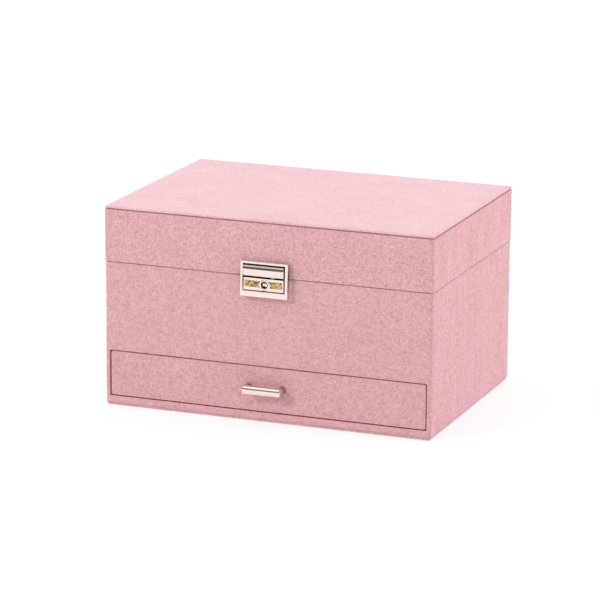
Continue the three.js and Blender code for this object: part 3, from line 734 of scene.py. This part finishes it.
hook = bmesh.new()
pts = [(1.75, 94.6), (6.5, 94.6), (6.5, 103.6), (4.4, 103.6), (4.4, 96.6), (1.75, 96.6)]
a = [hook.verts.new((x, -86.65, z)) for x, z in pts]
b = [hook.verts.new((x, -85.65, z)) for x, z in pts]
hook.faces.new(a)
hook.faces.new(b[::-1])
for i in range(6):
    j = (i + 1) % 6
    hook.faces.new([a[j], a[i], b[i], b[j]])
bmesh.ops.recalc_face_normals(hook, faces=hook.faces[:])
bevel(hook, sharp(hook, 30), 0.12, 2)
finish_mesh(hook, "hasp_hook", "lid", STEEL, ("hasp_bar",), angle=40)

# lock case: plain border, a sunk ornament panel with a soft wave relief either side of the key plug
CX, CZ = 0.0, 97.8
low = profile([(93.35, 2.7), (93.65, 3.15), (95.75, 3.2), (96.0, 2.75), (100.15, 2.75), (100.4, 3.2), (102.1, 3.2), (102.4, 2.8)])


LX0 = -16.3


def lower_depth(x, z):
    edge = min(x - PX0, PX1 - x)
    d = low(z)
    inset = 3.2 - d if 95.7 < z < 100.5 else 0.0
    ends = min(1.0, max(0.0, (edge - 1.1) / 0.3))
    if 95.7 < z < 100.5:
        d = 3.2 - inset * ends
        if inset > 0.4 and ends > 0.99:
            t = 1.15 * x + 1.9 * math.sin(1.0 * (z - 96.2)) + 1.2 * math.sin(0.55 * x)
            d += 0.31 * math.sin(t) * math.sin(math.pi * (z - 96.0) / 4.15) + 0.14 * noise.noise(Vector((x * 1.1, z * 1.4, 2.0)))
    r = math.hypot(x - CX, z - CZ)
    if r < 4.3:
        d = max(d, 3.2 - 0.45 * max(0.0, min(1.0, (r - 3.95) / 0.35)))
    return d - (max(0.0, 0.45 - edge) * 0.9 if x > 0 else 0.0)


xs = steps([LX0, PX0 + 0.25, PX0 + 1.1, PX0 + 1.4, PX1 - 1.4, PX1 - 1.1, PX1 - 0.5, PX1 - 0.25, PX1], 0.2)
zs = steps([93.35, 93.5, 93.65, 95.75, 95.87, 96.0, 100.15, 100.27, 100.4, 102.1, 102.25, 102.4], 0.2)


def lower_pick(x, z):
    return 1 if 95.95 < z < 100.2 and PX0 + 1.35 < x < PX1 - 1.35 and math.hypot(x - CX, z - CZ) > 4.2 else 0


case = relief("lock_case_front", "chest", ("lock_case",), [METAL, METAL_LOCK, SHADE_BLACK_METAL], xs, zs, 2.15, lower_depth, lower_pick)
bore = turned([(0.0, -90.0), (3.2, -90.0), (3.2, -86.0), (0.0, -86.0)], 64)
move(bore, CX, 0, CZ)
bore = loose(bore, "bore")
bore.data.transform(Matrix.Scale(MM, 4))
cut(case, bore)
case.data.polygons.foreach_set("use_smooth", [True] * len(case.data.polygons))
case.data.set_sharp_from_angle(angle=math.radians(24))
# near-black back plate behind the lock case front: painted shade in the gaps round it
relief("lock_case_backplate", "chest", ("lock_case",), [SHADE_BLACK_METAL], steps([-16.1, 14.0], 6), steps([92.4, 102.5], 4), 0.12, lambda x, z: 0.75)
# side cheeks that carry the front on the back plate, near-black as painted shade
for k, (x0, x1) in enumerate(((-14.9, -12.6), (11.6, 13.9))):
    bm = soft_box((x0, WALL - 2.2, 93.9), (x1, WALL - 0.4, 102.2), 0.2, segments=2)
    finish_mesh(bm, f"lock_case_cheek_{k + 1}", "chest", SHADE_BLACK_METAL, ("lock_case",), angle=40)

# collar ring round the key plug, its bore walls painted near-black as shade
bm = bmesh.new()
N = 80
front = WALL - 3.72
p = [(3.0, WALL - 2.0), (3.0, WALL - 2.95), (2.5, WALL - 3.05), (2.5, front + 0.3)] + arc(2.78, front + 0.28, 0.28, 180, 270, 5)[1:] + arc(3.28, front + 0.42, 0.42, 270, 360, 6)[1:] + [(3.72, WALL - 3.0), (3.72, WALL - 2.2)]
rings = [[bm.verts.new((CX + r * math.cos(2 * math.pi * i / N), y, CZ + r * math.sin(2 * math.pi * i / N))) for i in range(N)] for r, y in p]
for k, (a, b) in enumerate(zip(rings, rings[1:] + rings[:1])):
    for i in range(N):
        j = (i + 1) % N
        bm.faces.new([a[i], a[j], b[j], b[i]]).material_index = 1 if k in (0, 1, 2, len(p) - 1) else 0
bmesh.ops.recalc_face_normals(bm, faces=bm.faces[:])
finish_mesh(bm, "key_collar", "chest", [METAL, SHADE_BLACK_METAL], (), angle=50)

# key plug: a domed face set back in the collar, with its keyhole
dome = [(0.0, WALL - 3.1)] + [(r, WALL - 3.1 + 0.5 * (r / 2.0) ** 2) for r in (0.4, 0.8, 1.2, 1.6, 1.85)] + [(2.0, WALL - 2.45), (2.02, WALL - 2.1), (2.8, WALL - 2.1), (2.86, WALL - 2.05), (2.86, WALL - 2.0), (0.8, WALL - 2.0), (0.8, WALL - 0.8), (0.0, WALL - 0.8)]
plug = turned(dome, 72)
move(plug, CX, 0, CZ)
plug = finish_mesh(plug, "key_plug_turned", "key_cylinder", [METAL, SHADE_BLACK_METAL], ("key_plug",), angle=35)
hole = turned([(0, -90), (0.62, -90), (0.62, WALL - 2.0), (0, WALL - 2.0)], 32)
move(hole, CX, 0, CZ - 1.15)
hole = loose(hole, "hole")
hole.data.transform(Matrix.Scale(MM, 4))
cut(plug, hole)
slot_cut = loose(grid_box([CX - 0.3, CX + 0.3], [-90, WALL - 2.0], [CZ - 2.2, CZ - 1.15]), "slot_cut")
slot_cut.data.transform(Matrix.Scale(MM, 4))
cut(plug, slot_cut)
bm = bmesh.new()
bm.from_mesh(plug.data)
bmesh.ops.dissolve_degenerate(bm, dist=8e-6, edges=bm.edges[:])
bm.to_mesh(plug.data)
bm.free()
# the groove round the dome and the keyhole's insides are painted near-black: painted shade
for p in plug.data.polygons:
    c = p.center / MM
    r = math.hypot(c.x - CX, c.z - CZ)
    if r > 1.9 or c.y > WALL - 3.1 + 0.5 * (r / 2.0) ** 2 + 0.08:
        p.material_index = 1
plug.data.polygons.foreach_set("use_smooth", [True] * len(plug.data.polygons))
plug.data.set_sharp_from_angle(angle=math.radians(35))


# ------------------------------------------------------------------ screws with cross recesses
def screw_mesh(shank_r, shank_l, head_r, head_h, dome):
    """Axis +Y, tip at 0, head's underside at shank_l."""
    p = [(0, 0), (shank_r * 0.55, 0.25), (shank_r, 0.9), (shank_r, shank_l), (head_r - 0.08, shank_l), (head_r, shank_l + 0.12)]
    for i in range(1, 7):
        t = i / 6 * math.pi / 2
        p.append((head_r * math.cos(t), shank_l + head_h - dome + dome * math.sin(t)) if i < 6 else (0, shank_l + head_h))
    o = loose(turned(p, 40), "screw_blank")
    o.data.transform(Matrix.Scale(MM, 4))
    w, l, d = head_r * 0.16, head_r * 0.62, head_h * 0.55
    for dims in ((w, l), (l, w)):
        c = loose(grid_box([-dims[0], dims[0]], [shank_l + head_h - d, shank_l + head_h + 1], [-dims[1], dims[1]]), "cross")
        c.data.transform(Matrix.Scale(MM, 4))
        cut(o, c)
    me = o.data
    bpy.data.objects.remove(o)
    me.polygons.foreach_set("use_smooth", [True] * len(me.polygons))
    me.set_sharp_from_angle(angle=math.radians(35))
    return me


def place_screws(nodes, me, mat, body, back):
    for k, n in enumerate(nodes):
        lo, hi = box_mm(n)
        m = me.copy()
        m.materials.clear()
        m.materials.append(mat)
        turn = Matrix.Rotation(math.radians(17 + 41 * k), 4, "Y")
        m.transform(Matrix.Translation(Vector(((lo.x + hi.x) / 2, lo.y, (lo.z + hi.z) / 2)) * MM) @ turn)
        o = bpy.data.objects.new(n + "_made", m)
        scene.collection.objects.link(o)
        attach(o, body)
        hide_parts(n)


hinge_screw = screw_mesh(0.9, 3.9, 1.9, 0.72, 0.55)
pull_screw = screw_mesh(1.3, 7.45, 3.0, 1.6, 1.3)
for u, b in (("lower", "chest"), ("upper", "lid")):
    place_screws([f"hinge_screw_{u}_{s}_{k}" for s in ("left", "right") for k in ("a", "b")], hinge_screw, STEEL, b, True)
place_screws(["pull_screw_left", "pull_screw_right"], pull_screw, STEEL, "drawer", True)

# ------------------------------------------------------------------ mirror
lo, hi = box_mm("mirror_glass")


def rounded(hx, hy, r, z, n=8):
    pts = []
    for cx, cy, a0 in ((hx - r, hy - r, 0), (r - hx, hy - r, 90), (r - hx, r - hy, 180), (hx - r, r - hy, 270)):
        pts += [Vector((x, y, z)) for x, y in arc(cx, cy, r, a0, a0 + 90, n)]
    return pts


# a sheet of glass with a 5 mm polished bevel round its face
bm = bmesh.new()
mid = (lo + hi) / 2
loops = []
for hx, hy, r, z in ((hi.x - mid.x - 5, hi.y - mid.y - 5, 0.6, lo.z), (hi.x - mid.x, hi.y - mid.y, 3.0, lo.z + 0.45), (hi.x - mid.x, hi.y - mid.y, 3.0, hi.z)):
    loops.append([bm.verts.new((mid.x + q.x, mid.y + q.y, q.z)) for q in rounded(hx, hy, r, z)])
bm.faces.new(loops[0])
bm.faces.new(loops[-1])
for p, q in zip(loops, loops[1:]):
    for i in range(len(p)):
        j = (i + 1) % len(p)
        bm.faces.new((p[i], p[j], q[j], q[i]))
bmesh.ops.recalc_face_normals(bm, faces=bm.faces[:])
finish_mesh(bm, "mirror_glass_bevelled", "lid", MIRROR, ("mirror_glass",), angle=1)


# ------------------------------------------------------------------ padded pieces: cloth simulation
def puff(obj, pin, pressure, cap, frames=20, scale=10.0, stiffness=18.0, name="pin"):
    """Inflates a closed mesh as sewn cloth over wadding, with some points held. Steps at a larger scale, then goes back."""
    me = obj.data
    rest = [v.co.copy() for v in me.vertices]
    big = me.copy()
    big.transform(Matrix.Scale(scale, 4))
    tmp = bpy.data.objects.new(obj.name + "_sim", big)
    scene.collection.objects.link(tmp)
    g = tmp.vertex_groups.new(name=name)
    for i, co in enumerate(rest):
        w = pin(co / MM)
        if w > 0:
            g.add([i], w, "REPLACE")
    c = tmp.modifiers.new("cloth", "CLOTH")
    st = c.settings
    st.quality = 6
    st.mass = 0.25
    st.tension_stiffness = st.compression_stiffness = stiffness
    st.shear_stiffness = 6
    st.bending_stiffness = 0.6
    st.vertex_group_mass = name
    st.pin_stiffness = 5.0
    st.use_pressure = True
    st.uniform_pressure_force = pressure
    st.effector_weights.gravity = 0
    c.collision_settings.use_collision = False
    c.point_cache.frame_start, c.point_cache.frame_end = 1, frames
    scene.frame_start, scene.frame_end = 1, frames
    for f in range(1, frames + 1):
        scene.frame_set(f)
    dg = bpy.context.evaluated_depsgraph_get()
    ev = tmp.evaluated_get(dg).to_mesh()
    new = [v.co.copy() / scale for v in ev.vertices]
    tmp.evaluated_get(dg).to_mesh_clear()
    for v, a, b in zip(me.vertices, rest, new):
        d = b - a
        if d.length > cap * MM:
            d = d.normalized() * cap * MM
        v.co = a + d
    bpy.data.objects.remove(tmp)
    scene.frame_set(1)
    me.update()
    s = obj.modifiers.new("fine", "SUBSURF")
    s.levels = s.render_levels = 1
    return obj


def pad(node, name, body, mat, held, cap, face, pressure=6.0, step=5.0, grow=0.0):
    """A thin padded panel: its back is flat, its face swells between where it is held. face is +1 for up, -1 for down."""
    lo, hi = box_mm(node)
    X, Y = steps([lo.x, hi.x], step), steps([lo.y, hi.y], step)
    z0, z1 = lo.z, hi.z
    if face > 0:
        z1 -= grow
    else:
        z0 += grow
    bm = grid_box(X, Y, [z0, z1])
    bevel(bm, sharp(bm, 60), 0.45, 2)
    ripple(bm, 0.12, 13.0, hi.x * 0.1, lambda c: (c.z > (z0 + z1) / 2) == (face > 0))
    o = finish_mesh(bm, name, body, mat, (node,))

    def pin(c):
        back = c.z < (z0 + z1) / 2 if face > 0 else c.z > (z0 + z1) / 2
        edge = min(c.x - lo.x, hi.x - c.x, c.y - lo.y, hi.y - c.y) < 1.2
        return 1.0 if back or edge or held(c) else 0.0

    puff(o, pin, pressure, cap)
    return o


mlo, mhi = box_mm("mirror_frame")
pad("lid_pad", "lid_pad_velvet", "lid", VELVET_PAD, lambda c: mlo.x - 1.5 < c.x < mhi.x + 1.5 and mlo.y - 1.5 < c.y < mhi.y + 1.5, 1.6, -1, grow=0.3)
pad("drawer_pad", "drawer_pad_velvet", "drawer", VELVET_PAD, lambda c: abs(c.x) < 2.6, 0.9, 1, grow=0.3)
pad("floor_pad", "floor_pad_velvet", "chest", VELVET_PAD, lambda c: abs(c.x) < 2.6, 1.0, 1, grow=0.3)

# ring rolls: seven soft rolls; one is simulated and the others are laid from it, every other one turned end for end,
# each swollen and sagging a little
lo, hi = box_mm("ring_rolls")
length, pitch = hi.x - lo.x, (hi.y - lo.y) / 7
R = pitch / 2 - 0.55
NS, NL = 36, 44
bm = bmesh.new()
rings = []
ends = [(0.0, 0.0), (0.35, 0.0), (0.7, 0.12), (0.92, 0.5), (1.0, 1.3)]
stations = [(k, t) for k, t in ends] + [(1.0, 1.3 + (length - 2.6) * i / NL) for i in range(1, NL)] + [(k, length - t) for k, t in reversed(ends)]
for k, t in stations:
    if k == 0:
        rings.append([bm.verts.new((t, 0, 0))])
        continue
    ring = []
    for i in range(NS):
        a = 2 * math.pi * i / NS
        w = 1 + 0.02 * noise.noise(Vector((t / 9, math.cos(a), math.sin(a))))
        ring.append(bm.verts.new((t, R * k * math.cos(a) * w, R * k * math.sin(a) * 1.12 * w)))
    rings.append(ring)
for a, b in zip(rings, rings[1:]):
    for i in range(NS):
        j = (i + 1) % NS
        f = list(dict.fromkeys([a[i % len(a)], b[i % len(b)], b[j % len(b)], a[j % len(a)]]))
        bm.faces.new(f)
bmesh.ops.recalc_face_normals(bm, faces=bm.faces[:])
first = finish_mesh(bm, "ring_roll_1", "tray", VELVET_ROLL, ("ring_rolls",))
seam = R * 1.12
puff(first, lambda c: 1.0 if (c.z < -seam * 0.93 or c.x < 0.2 or c.x > length - 0.2) else 0.0, 5.0, 0.75)
base_mesh = first.data.copy()
centre_z = hi.z - 0.35 - R * 1.12 - 0.3
for k in range(7):
    o = first if k == 0 else bpy.data.objects.new(f"ring_roll_{k + 1}", base_mesh.copy())
    if k:
        scene.collection.objects.link(o)
    me = o.data
    flip = -1 if k % 2 else 1
    cy = lo.y + pitch * (k + 0.5)
    for v in me.vertices:
        x, y, z = v.co / MM
        if flip < 0:
            x = length - x
        y *= flip
        swell = 1 + 0.012 * noise.noise(Vector((x / 14, k * 3.1, 0.5)))
        droop = 0.25 * noise.noise(Vector((x / 30, k * 1.7, 9.0)))
        v.co = Vector((lo.x + x, cy + y * swell + droop * 0.3, centre_z + z * swell + droop)) * MM
    if flip < 0:
        # mirrored twice, so the faces keep their side
        pass
    me.update()
    if k:
        s = o.modifiers.new("fine", "SUBSURF")
        s.levels = s.render_levels = 1
        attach(o, "tray")
        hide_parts("ring_rolls")
# velvet-covered block under the rolls
bm = soft_box((lo.x, lo.y, lo.z), (hi.x, hi.y, centre_z - 3.0), 0.6, step=8.0)
finish_mesh(bm, "ring_roll_block", "tray", VELVET_PAD, ("ring_rolls",))

# ------------------------------------------------------------------ studio
bm = bmesh.new()
bmesh.ops.create_grid(bm, x_segments=2, y_segments=2, size=12)
me = bpy.data.meshes.new("floor")
bm.to_mesh(me)
bm.free()
floor = bpy.data.objects.new("floor", me)
floor.location.z = -0.0003
scene.collection.objects.link(floor)
fm = Nodes("floor_white")
fn = fm.noise(fm.coords(), 3.0, 2.0, 0.5)
me.materials.append(fm.set(color=fm.mix(fn, (0.40, 0.40, 0.40), (0.41, 0.41, 0.41)), rough=0.9, spec=0.0))
fm.bsdf.inputs["Emission Color"].default_value = (1, 1, 1, 1)
far = fm.t.nodes.new("ShaderNodeVectorMath")
far.operation = "LENGTH"
fm.link(fm.coords(), far.inputs[0])
glow = fm.t.nodes.new("ShaderNodeMapRange")
fm.link(far.outputs["Value"], glow.inputs[0])
for k, x in enumerate((1.2, 3.5, 0.62, 1.05)):
    glow.inputs[k + 1].default_value = x
fm.link(glow.outputs[0], fm.bsdf.inputs["Emission Strength"])

world = bpy.data.worlds.new("studio")
world.use_nodes = True
scene.world = world
wt = world.node_tree
wt.nodes.clear()
wn = wt.nodes.new
wo, wb, ws, wp, wr, wc, wm = (wn(k) for k in ("ShaderNodeOutputWorld", "ShaderNodeBackground", "ShaderNodeSeparateXYZ", "ShaderNodeTexCoord", "ShaderNodeValToRGB", "ShaderNodeLightPath", "ShaderNodeMix"))
wt.links.new(wp.outputs["Generated"], ws.inputs[0])
wt.links.new(ws.outputs["Z"], wr.inputs[0])
e = wr.color_ramp.elements
e[0].position, e[0].color = 0.0, (0.80, 0.80, 0.80, 1)
e[1].position, e[1].color = 1.0, (0.45, 0.45, 0.45, 1)
for p, c in ((0.045, 0.86), (0.13, 0.44), (0.30, 0.46), (0.35, 0.06), (0.50, 0.06), (0.56, 0.8)):
    x = e.new(p)
    x.color = (c, c, c, 1)
# behind the chest the studio is bright right down to the floor
wr2, wm2, wy = wn("ShaderNodeValToRGB"), wn("ShaderNodeMix"), wn("ShaderNodeMapRange")
wt.links.new(ws.outputs["Z"], wr2.inputs[0])
e = wr2.color_ramp.elements
e[0].position, e[0].color = 0.0, (1.0, 1.0, 1.0, 1)
e[1].position, e[1].color = 1.0, (0.25, 0.25, 0.25, 1)
x = e.new(0.35)
x.color = (0.75, 0.75, 0.75, 1)
wt.links.new(ws.outputs["Y"], wy.inputs[0])
wy.inputs[1].default_value, wy.inputs[2].default_value = -0.15, 0.25
wm2.data_type = "RGBA"
wt.links.new(wy.outputs[0], wm2.inputs[0])
wt.links.new(wr.outputs[0], wm2.inputs[6])
wt.links.new(wr2.outputs[0], wm2.inputs[7])
wm.data_type = "RGBA"
wt.links.new(wc.outputs["Is Camera Ray"], wm.inputs[0])
wt.links.new(wm2.outputs[2], wm.inputs[6])
wm.inputs[7].default_value = (1, 1, 1, 1)
wt.links.new(wm.outputs[2], wb.inputs[0])
wb.inputs[1].default_value = 1.0
wt.links.new(wb.outputs[0], wo.inputs[0])


def softbox(name, loc, target, size, power, size_y=None, color=(1, 1, 1)):
    l = bpy.data.lights.new(name, "AREA")
    l.shape = "RECTANGLE"
    l.size, l.size_y = size, size_y or size
    l.energy = power
    l.color = color
    o = bpy.data.objects.new(name, l)
    o.location = loc
    o.rotation_euler = (Vector(target) - Vector(loc)).to_track_quat("-Z", "Y").to_euler()
    scene.collection.objects.link(o)
    return o


key = softbox("key_front_left", (-1.6, -1.9, 1.5), (0, 0, 0.07), 0.8, 31.0)
key.visible_glossy = False
softbox("right_back", (2.3, 0.7, 1.0), (0, 0, 0.07), 1.2, 23.5)
softbox("top_back", (0.0, 1.9, 1.5), (0, 0, 0.1), 1.4, 11.5)
softbox("overhead", (-0.3, -0.3, 2.3), (-0.3, -0.3, 0.0), 2.6, 20.0)
